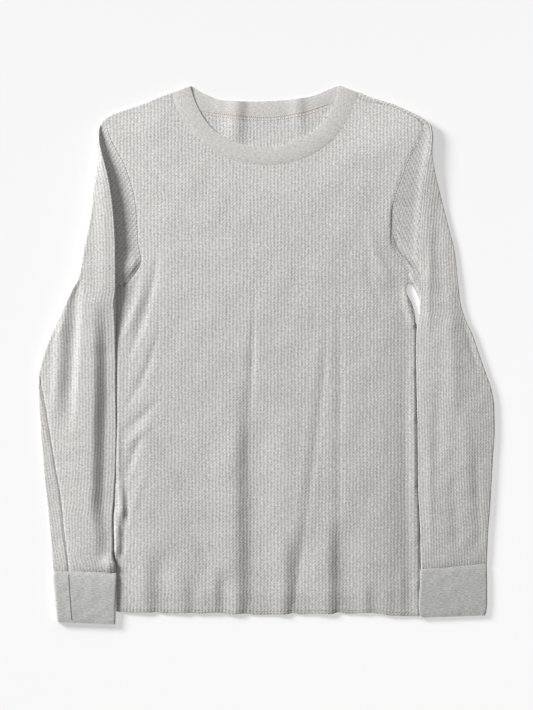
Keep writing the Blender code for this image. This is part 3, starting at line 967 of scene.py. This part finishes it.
def make_sleeve(name, table, side, armhole, cap_turn, rib_scale):
    """The sleeve as rows of points: cap, turn, ridge, top, outer edge and bottom."""
    half, trait = CLOTH_WALL / 2, SLEEVE_TRAITS[side]
    y = np.concatenate(
        [
            np.arange(table["y"][0], 78 * MM, 2.6 * MM),
            np.arange(78 * MM, 110 * MM, 1.3 * MM),
            np.arange(110 * MM, table["y"][-1] + 0.1 * MM, 2.6 * MM),
        ]
    )[:, None]
    zero = 0 * y
    closed = y < 89.5 * MM
    cap = ease(60 * MM, 84 * MM, y)

    # The section's corners, as columns of how far out from the middle and how high.
    inner, ridge, outer = (
        side * column for column in columns_at(table, y, "inner", "ridge", "outer")
    )
    top, middle, outer_top = columns_at(table, y, "crest", "middle", "low")
    edge = columns_at(BODY_EDGE, y, armhole)[0] * side
    inner = np.where(closed, inner + half, edge - 0.2 * MM)
    low = BACK_LEVEL + zero
    swell = 0.7 * (top - low) / 2
    outer_swell = trait["edge"] * (outer_top - low) / 2
    outer = outer - half - outer_swell
    cap_level = top - 2.2 * MM
    if side < 0:
        cap_level = np.minimum(low + 1.55 * MM, top - 1.4 * MM)
    at_seam = FRONT_LEVEL + trait["seam_lift"] + on_grid(crease, side * inner, y, TIP_RISE)
    start_level = np.where(closed, low + (top - low) * 0.42, at_seam)
    start_level = np.minimum(np.minimum(start_level, at_seam), top - 0.4 * MM)
    roll = np.clip((top - cap_level) / 2 - 0.3 * MM, 0.5 * MM, 2.6 * MM)
    crest = ridge + half + 0.25 * MM
    hidden = np.maximum(np.minimum(crest + 6 * MM, outer - 1 * MM), inner + 3 * MM)

    # Pleated: along the cap, round the hidden turn, and over the ridge.
    under = top - 2 * roll
    pleat_out, pleat_z = side_by_side(
        [
            straight((inner, start_level), (hidden, cap_level), CAP_COLUMNS),
            half_round((hidden, cap_level), (crest, under), 1.2 * MM + zero, 6),
            half_round((crest, under), (crest, top), -0.25 * MM + zero, 9),
        ]
    )
    # Plain: a rounded inner edge. The two are blended below the armhole.
    columns = pleat_out.shape[1]
    turn = np.pi / 2 * np.arange(columns) / columns
    plain_out = inner + swell * (1 - np.cos(turn) ** 0.6)
    plain_z = start_level + (top - start_level) * np.sin(turn) ** 0.6
    blended = (plain_out + (pleat_out - plain_out) * cap, plain_z + (pleat_z - plain_z) * cap)

    # The top, with a trough on the right sleeve and a crown on the left.
    top_start = np.where(cap > 0.999, crest, inner + swell + (crest - inner - swell) * cap)
    upper_out, upper_z = straight((top_start, top), (outer, outer_top), TOP_COLUMNS)
    share = np.arange(TOP_COLUMNS) / TOP_COLUMNS
    if side < 0:
        drift = columns_at(TROUGH_DRIFT, y, "out")[0]
        rise = ease(8 * MM, 26 * MM, upper_out - top_start - drift)
        fall = ease(0.25, 1.15, share) / ease(0.25, 1.15, 1.0)
        upper_z = top + (middle - top) * rise - (middle - outer_top) * fall
    else:
        bulge = middle - top + 0.4 * (top - outer_top)
        upper_z = upper_z + bulge * np.sin(np.pi * share**0.76)

    # The outer edge and the bottom, back to the start or to a plain end under the cap.
    foot = outer - np.minimum(0.9 * (outer_top - low), 0.35 * (outer - inner))
    end_swell = np.where(closed, swell, 0)
    left = 1 - np.arange(6) / 5
    tail_out = inner + end_swell * (1 - np.cos(np.pi / 2 * left))
    tail_z = start_level - (start_level - low) * np.sin(np.pi / 2 * left)
    tail = (np.where(closed, tail_out, inner + 3 * MM * left), np.where(closed, tail_z, low))
    out, z = side_by_side(
        [
            blended,
            (upper_out, upper_z),
            half_round((outer, outer_top), (foot, low), outer_swell, 12),
            straight((foot, low), (inner + end_swell, low), 22),
            tail,
        ]
    )
    x = side * out
    top_from, top_to = columns, columns + TOP_COLUMNS
    total = out.shape[1]
    yy = np.repeat(y, total, 1)

    # Large folds on the top and on the cap.
    column = np.arange(total)
    on_top = (column >= top_from) & (column < top_to)
    on_cap = slice(1, CAP_COLUMNS + 1)
    fade = np.clip(np.minimum(column - top_from + 3, top_to - column + 1) / 9, 0, 1)
    fade[: top_from - 3] = 0
    fade[top_to:] = 0
    press = on_grid(crease, x, yy, SLEEVE_FOLDS) + on_grid(one_sided, x, yy, SLEEVE_DROPS)
    press += on_grid(unevenness, x, yy, 52 * MM, 0.25 * MM, 0.3 * side)
    z = z + press * fade
    cap_fade = np.zeros(total)
    cap_fade[on_cap] = np.clip(column[on_cap] / 5, 0, 1)
    press = on_grid(crease, x, yy, CAP_FOLDS)
    if side > 0:
        press = press + 1.9 * MM * np.exp(-(((x - ridge) / (6 * MM)) ** 2))
    lifted = np.minimum(z + press, np.maximum(top - trait["headroom"], z))
    z = z + (lifted - z) * cap_fade * cap
    z = np.maximum(z, low)
    z[:, on_cap] = np.maximum(z[:, on_cap], low + 0.9 * MM * cap)
    z[:, on_top] = np.maximum(z[:, on_top], low + 1.8 * MM)
    if side < 0:
        seam = columns_at(UNDERARM_SEAM, y, "x")[0]
        groove = np.exp(-(((x - seam) / (1.6 * MM)) ** 2)) * (y < -10 * MM)
        z[:, on_top] -= 1.1 * MM * groove[:, on_top]

    # The wrist end follows the cuff's slant.
    near_cuff = ease(0, 1, np.clip((-205 * MM - yy) / (50 * MM), 0, 1))
    yy = yy + trait["slant"] * (x - side * (inner + outer) / 2) * near_cuff

    # The grain follows the sleeve's length, but the cap's and the seam strip's lie aslant.
    points = np.stack([x, yy, z], 2)
    spread = way_round(points)
    spread = (spread - spread[:, top_from : top_from + 1]) / rib_scale
    strip_x, strip_y = turned(x, yy, math.radians(-9))
    grains = np.stack([spread, yy, *turned(x, yy, cap_turn), strip_x / 0.8, strip_y], 2)
    choice = np.zeros((len(y) - 1, total - 1), int)
    choice[:, : CAP_COLUMNS + 4] = cap[:-1] > 0.6
    if side < 0:
        seam = columns_at(UNDERARM_SEAM, yy, "x")[0]
        choice[(x < seam)[:-1, :-1] & (yy < -16 * MM)[:-1, :-1]] = 2
    joined, own = tube_faces(*x.shape, closed[:, 0], side < 0)
    grain = grains.reshape(-1, 3, 2)[own, choice.ravel()[:, None]]
    return tube_object(name, points, joined, grain, CLOTH_WALL, waffle_cloth)


sleeve_right = make_sleeve("sleeve_right_cloth", SLEEVE_RIGHT, -1, "left", math.radians(38), 0.9)
sleeve_left = make_sleeve("sleeve_left_cloth", SLEEVE_LEFT, 1, "right", math.radians(-27), 0.81)
for piece, node in ((sleeve_right, "sleeve_right"), (sleeve_left, "sleeve_left")):
    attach(piece, "root")
    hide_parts(node)

# ---------------------------------------------------------------------------------------
# Neckband. A doubled strip of plain jersey joined into a ring and sewn round the neck. Its
# front half lies on the front, its back half on the back, and it turns over at each side.

jersey_group, given, result = knit_group("marl jersey", (("Melange", 0.5), ("Wale", 0.9 * MM)))
grain = given.outputs["Grain"]
number, noise = partial(calc, jersey_group), partial(speckle, jersey_group, grain)
streak = noise(560, 2, (0.4, 1.5, 1.0))
fibre = noise(900, 2, (0.6, 1.2, 1.0))
mottle = noise(60, 2, (0.6, 1.0, 1.0))
split = jersey_group.nodes.new("ShaderNodeSeparateXYZ")
jersey_group.links.new(grain, split.inputs[0])
wale = number("DIVIDE", split.outputs["X"], given.outputs["Wale"])
wale = number("COSINE", number("MULTIPLY", wale, 2 * math.pi))
fleck = number("SUBTRACT", streak, 0.5)
fleck = number("MULTIPLY_ADD", number("SUBTRACT", fibre, 0.5), 0.6, fleck)
shade = number("MULTIPLY", fleck, given.outputs["Melange"])
shade = number("MULTIPLY_ADD", number("SUBTRACT", mottle, 0.5), 0.10, shade)
shade = number("ADD", shade, 1.0)
jersey_group.links.new(tinted(jersey_group, given.outputs["Yarn"], shade), result.inputs["Color"])
jersey_group.links.new(number("MULTIPLY_ADD", wale, 0.25, fibre), result.inputs["Height"])

JERSEY_WARM = (0.556, 0.547, 0.525, 1.0)
band_jersey = knit_material(
    "neckband jersey", jersey_group, JERSEY_WARM, {"Melange": 1.0}, 0.4, 0.2 * MM
)

BAND_WALL = 1.6 * MM
BAND_WIDTH = 25 * MM
BAND_LEVEL = FRONT_LEVEL + 0.45 * MM
BAND_SHARES = np.array([0, 0.02, 0.06, 0.12, 0.22, 0.36, 0.5, 0.64, 0.78, 0.88, 0.94, 0.98, 1])


def band_strip(free, seam, level, edge_drop):
    """One cross-strip of the band from free edge to seam edge, slightly crowned."""
    share = BAND_SHARES
    spot = free[None, :] + (seam - free)[None, :] * share[:, None]
    crown = 0.45 * MM * np.sin(np.pi * share) ** 0.7
    crown -= edge_drop * np.exp(-(((1 - share) / 0.12) ** 2))
    return np.column_stack([spot, level + crown])


def band_edges(table, count):
    """The band's free and seam edges along one half of the neck."""
    return [
        resampled(run_through(table[edge + "_x"], table[edge + "_y"], 1.0 * MM), count)
        for edge in ("free", "seam")
    ]


def band_turn(free, seam, angles):
    """The cross-strips where the band turns over the shoulder."""
    way = (seam - free) / np.linalg.norm(seam - free)
    outward = np.array([-way[1], way[0]])
    outward = outward if outward[1] > 0 else -outward
    radius = (BAND_LEVEL - BACK_LEVEL) / 2
    pulled = -outward * (radius + BAND_WALL / 2)
    strips = []
    for angle in angles:
        reached, over = flattened(math.radians(angle))
        move = pulled + outward * radius * reached
        strips.append(band_strip(free + move, seam + move, BACK_LEVEL + 2 * radius * over, 0))
    return strips


BAND_ANGLES = (0, 30, 55, 80, 105, 130, 155, 180)
front_free, front_seam = band_edges(NECK_FRONT, 210)
rear_free, rear_seam = band_edges(NECK_BACK, 120)
ring = []
for i in range(2, len(front_free) - 2):
    drop = (0.35 - 0.35 * ease(-20 * MM, 90 * MM, front_seam[i][0])) * MM
    ring.append(band_strip(front_free[i], front_seam[i], BAND_LEVEL, drop))
ring += band_turn(front_free[-1], front_seam[-1], BAND_ANGLES[::-1])
for i in range(len(rear_free) - 3, 1, -1):
    ring.append(band_strip(rear_free[i], rear_seam[i], BACK_LEVEL, 0.0))
ring += band_turn(front_free[0], front_seam[0], BAND_ANGLES)
ring = np.array(ring)
on_back = (ring[:, :, 2] < BACK_LEVEL + 0.9 * MM) & (ring[:, :, 1] > 290 * MM)
lift = on_grid(back_rise, ring[:, :, 0], ring[:, :, 1])
ring[:, :, 2] += np.where(on_back, lift, 0)
ring[:, :, 2] = np.maximum(ring[:, :, 2], BACK_LEVEL)

# The ring's quads, and its grain: metres along the band and across it.
loops, width = ring.shape[:2]
index = np.arange(loops * width).reshape(loops, width)
after = np.roll(index, -1, axis=0)
quads = np.stack([index[:, :-1], index[:, 1:], after[:, 1:], after[:, :-1]], 2).reshape(-1, 4)
centre = ring[:, width // 2]
steps = np.linalg.norm(np.roll(centre, -1, axis=0) - centre, axis=1)
ends = np.concatenate([[0], np.cumsum(steps)])
across_band = BAND_SHARES * BAND_WIDTH
uv = np.empty((loops, width - 1, 4, 2))
uv[:, :, :2, 0] = ends[:-1, None, None]
uv[:, :, 2:, 0] = ends[1:, None, None]
uv[:, :, ::3, 1] = across_band[None, :-1, None]
uv[:, :, 1:3, 1] = across_band[None, 1:, None]
points, uv = ring.reshape(-1, 3), uv.reshape(-1, 4, 2)
neckband = sheet_object(
    "neckband_cloth", points, quads[:, ::-1], uv[:, ::-1], BAND_WALL, band_jersey
)
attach(neckband, "root")
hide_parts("neckband")

# ---------------------------------------------------------------------------------------
# Cuffs. Each is a closed band of the same jersey in a cooler grey, sewn to the sleeve's end
# and pressed flat.

JERSEY_COOL = (0.522, 0.521, 0.516, 1.0)
cuff_jersey = knit_material(
    "cuff jersey", jersey_group, JERSEY_COOL, {"Melange": 1.1}, 0.4, 0.2 * MM
)

CUFF_RIGHT = rows("""
y inner outer rise tilt
-271.4 -187.4 -266.2 7.0 -35
-274.2 -187.3 -266.3 7.6 -35
-278 -187.2 -266.4 8.0 -35
-290 -187.8 -265.4 8.4 -36
-304 -188.4 -264.2 8.2 -38
-320 -188.9 -262.8 7.6 -40
-330 -189.0 -261.8 7.2 -40
-335.3 -189.4 -261.2 6.6 -40
""")

CUFF_LEFT = rows("""
y inner outer rise tilt
-264.8 193.4 275.2 4.3 85
-267.6 193.3 275.4 4.8 83
-271 193.2 275.6 5.0 80
-281 193.0 275.8 5.2 70
-297 191.9 276.0 5.2 55
-312 191.2 276.0 5.0 45
-322 192.4 275.0 4.8 38
-327.2 193.2 273.2 4.4 35
""")


CUFF_WALL = 1.4 * MM
CUFF_COLUMNS = 40


def make_cuff(name, table, side):
    """A flattened tube: top, outer edge, bottom, inner edge. Tilts are in thousandths."""
    y = np.linspace(table["y"][0], table["y"][-1], 40)[:, None]
    inner, outer, top, tilt = columns_at(table, y, "inner", "outer", "rise", "tilt")
    low = CUFF_WALL / 2 + 0 * y
    swell = 0.75 * (top - low) / 2
    inner = inner * side + CUFF_WALL / 2 + swell
    outer = outer * side - CUFF_WALL / 2 - swell
    foot = inner + 5 * MM
    out, z = side_by_side(
        [
            straight((inner, top), (outer, top), CUFF_COLUMNS),
            half_round((outer, top), (outer, low), swell, 12),
            straight((outer, low), (foot, low), 20),
            half_round((foot, low), (inner, top), -swell - 2 * MM, 12, whole=True),
        ]
    )
    x = side * out
    yy = np.repeat(y, x.shape[1], 1)
    column = np.arange(x.shape[1])
    fade = np.clip(np.minimum(column + 1, CUFF_COLUMNS + 1 - column) / 6, 0, 1)
    z = z + on_grid(unevenness, x, yy, 38 * MM, 0.2 * MM, 1.0) * fade
    yy = yy + tilt * (x - side * (inner + outer) / 2)
    points = np.stack([x, yy, z], 2)
    joined, own = tube_faces(*x.shape, slice(None), side > 0)
    grain = np.stack([way_round(points), yy], 2).reshape(-1, 2)[own]
    return tube_object(name, points, joined, grain, CUFF_WALL, cuff_jersey)


cuff_right = make_cuff("cuff_right_cloth", CUFF_RIGHT, -1)
cuff_left = make_cuff("cuff_left_cloth", CUFF_LEFT, 1)
for piece, node in ((cuff_right, "cuff_right"), (cuff_left, "cuff_left")):
    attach(piece, "root")
    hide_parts(node)

# ---------------------------------------------------------------------------------------
# Seams. Needle rows along each armhole, shoulder, cuff and the hem, and a seam up the underarm, as
# stitches in a dark grey that is partly thread and partly painted shade of the seam grooves; and
# two rows of pale coverstitch inside the back neck.

# The dark grey is partly the thread's colour and partly painted shade of the grooves along the
# seams.
SEAM_THREAD_AND_SHADE_GREY = (0.20, 0.197, 0.19, 1.0)
THREAD_PALE = (0.66, 0.53, 0.48, 1.0)


bpy.context.view_layer.update()
trees = {
    piece.name: BVHTree.FromPolygons(
        [v.co.copy() for v in piece.data.vertices],
        [tuple(f.vertices) for f in piece.data.polygons],
    )
    for piece in (front, back, sleeve_right, sleeve_left, neckband, cuff_right, cuff_left)
}


def top_of(x, y, names):
    """Height of the topmost of the named pieces at a place, or None."""
    above, down = Vector((x, y, 0.1)), Vector((0, 0, -1))
    hits = [trees[name].ray_cast(above, down)[0] for name in names]
    return max((hit.z for hit in hits if hit is not None), default=None)


def stitch_row(points, faces, path, names, *sizes):
    """Short rounded stitches laid end to end along a path on the named pieces.

    The sizes, in millimetres, are the pitch, length and width, and how far they stand out.
    """
    pitch, length, width, proud = (size * MM for size in sizes)
    run = np.concatenate([[0], np.cumsum(np.linalg.norm(np.diff(path, axis=0), axis=1))])
    for place in np.arange(0.5 * pitch, run[-1], pitch):
        ends = []
        for d in (-0.5 * length, 0.5 * length):
            x = np.interp(place + d, run, path[:, 0])
            y = np.interp(place + d, run, path[:, 1])
            z = top_of(x, y, names)
            if z is None:
                break
            ends.append(np.array([x, y, z + proud]))
        if len(ends) < 2 or abs(ends[0][2] - ends[1][2]) > 2 * MM:
            continue
        way = ends[1] - ends[0]
        way /= np.linalg.norm(way)
        side = np.cross(way, [0, 0, 1])
        side /= np.linalg.norm(side)
        up = np.cross(side, way)
        base = len(points)
        for share, size in ((0, 0.3), (0.2, 1), (0.8, 1), (1, 0.3)):
            middle = ends[0] + (ends[1] - ends[0]) * share
            for k in range(6):
                turn = k * math.pi / 3
                ring_at = side * math.cos(turn) * width / 2 + up * math.sin(turn) * width / 3
                points.append(middle + ring_at * size)
        for r in range(3):
            for k in range(6):
                a, b = base + r * 6 + k, base + r * 6 + (k + 1) % 6
                faces.append((a, a + 6, b + 6, b))
        faces.append(tuple(base + k for k in range(6)))
        faces.append(tuple(base + 18 + k for k in range(5, -1, -1)))


def stitches_object(name, rows_of, material_name, colour):
    points, faces = [], []
    for row in rows_of:
        stitch_row(points, faces, *row)
    mesh = bpy.data.meshes.new(name)
    mesh.from_pydata([tuple(p) for p in points], [], faces)
    mesh.update()
    mesh.shade_smooth()
    mesh.materials.append(matt_material(material_name, 0.8, 0.2, colour)[0])
    return placed(name, mesh)


arm_left = side_left[side_left[:, 1] > 100 * MM] + [-0.5 * MM, 0]
arm_right = side_right[side_right[:, 1] > 100 * MM] + [0.5 * MM, 0]
on_arm_left = ["sleeve_right_cloth", "front_panel"]
on_arm_right = ["sleeve_left_cloth", "front_panel"]
underarm = run_through(UNDERARM_SEAM["x"], UNDERARM_SEAM["y"], 2 * MM)
shoulder = moved_aside(seam_right, -0.2 * MM)[3:]
cuff_seam = np.array([[-0.2468, -0.2745], [-0.2452, -0.3], [-0.2428, -0.3315]])
hem_row = hem[3:-3] + [0, 4.2 * MM]
seam_rows = [
    (arm_left, on_arm_left, 3.4, 2.2, 0.7, 0.0),
    (arm_right, on_arm_right, 3.4, 2.2, 0.7, 0.0),
    (shoulder, ["back_panel", "front_panel"], 3.4, 2.2, 0.8, 0.0),
    (hem_row, ["front_panel"], 4.28, 1.8, 0.7, 0.0),
    (underarm, ["sleeve_right_cloth"], 3.0, 2.6, 0.8, 0.0),
    (cuff_seam, ["cuff_right_cloth"], 2.6, 2.7, 1.3, 0.0),
]
# These stitches' dark colour paints the shade in the seam grooves as well as showing the thread.
seams = stitches_object("seam_stitches_with_painted_shade", seam_rows, "thread", SEAM_THREAD_AND_SHADE_GREY)
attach(seams, "root")

inside_neck = run_through(NECK_BACK["seam_x"], NECK_BACK["seam_y"], 2 * MM)
inside_neck = inside_neck[np.abs(inside_neck[:, 0] + 2 * MM) < 79 * MM]
cover_rows = [
    (inside_neck + [0, 1.6 * MM], ["neckband_cloth"], 2.6, 2.1, 0.9, 0.1),
    (inside_neck - [0, 2.4 * MM], ["back_panel"], 2.6, 2.1, 0.9, 0.1),
]
cover = stitches_object("neck_coverstitch", cover_rows, "pale thread", THREAD_PALE)
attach(cover, "root")

# ---------------------------------------------------------------------------------------
# The pale surface under the top, soft studio light from the upper left, and the camera
# straight above.

LAMPS = (
    ("window", (-3.35, 1.96, 1.93), 1.55, 298.0),
    ("skylight", (0.10, 1.25, 0.90), 1.20, 4.6),
)
FLOOR_TONE = 0.935
FLOOR_FROM_ROOM = 0.08
FLOOR_PER_WATT = 0.04777

floor_mesh = bpy.data.meshes.new("surface")
floor_mesh.from_pydata([(-3, -3, 0), (3, -3, 0), (3, 3, 0), (-3, 3, 0)], [], [(0, 1, 2, 3)])
surface = placed("surface", floor_mesh)
pale, tree, paint = matt_material("pale surface", 1.0, 0.0, (0.5, 0.5, 0.5, 1))
paint.inputs["Emission Color"].default_value = (1, 1, 1, 1)
place = tree.nodes.new("ShaderNodeTexCoord")
glow = FLOOR_TONE - FLOOR_FROM_ROOM
for name, spot, size, energy in LAMPS:
    away = tree.nodes.new("ShaderNodeVectorMath")
    away.operation = "DISTANCE"
    away.inputs[1].default_value = spot
    tree.links.new(place.outputs["Object"], away.inputs[0])
    lit = calc(tree, "POWER", away.outputs["Value"], -3.0)
    glow = calc(tree, "MULTIPLY_ADD", lit, -FLOOR_PER_WATT * spot[2] * energy, glow)
tree.links.new(calc(tree, "MAXIMUM", glow, 0.0), paint.inputs["Emission Strength"])
floor_mesh.materials.append(pale)
surface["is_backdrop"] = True

world = bpy.data.worlds.new("studio")
world.use_nodes = True
world.node_tree.nodes["Background"].inputs["Color"].default_value = (1, 1, 1, 1)
world.node_tree.nodes["Background"].inputs["Strength"].default_value = 0.16
bpy.context.scene.world = world

for name, spot, size, energy in LAMPS:
    lamp = bpy.data.lights.new(name, "AREA")
    lamp.shape = "DISK"
    lamp.size = size
    lamp.energy = energy
    stand = placed(name, lamp)
    stand.location = spot
    stand.rotation_euler = (-stand.location).to_track_quat("-Z", "Y").to_euler()

CAMERA_HEIGHT = 5.0
SEEN_HEIGHT = 0.8875
lens = bpy.data.cameras.new("overhead")
lens.sensor_fit = "VERTICAL"
lens.sensor_height = 36.0
lens.lens = lens.sensor_height * CAMERA_HEIGHT / SEEN_HEIGHT
lens.clip_end = 20
camera = placed("overhead", lens)
camera.location = (0.25 * MM, -0.6 * MM, CAMERA_HEIGHT)
bpy.context.scene.camera = camera
bpy.context.scene.view_settings.view_transform = "Standard"

bpy.context.view_layer.update()
boxes = {"cad": cad_box, "visual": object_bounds()}
{k: [list(map(float, corner)) for corner in box] for k, box in boxes.items()}
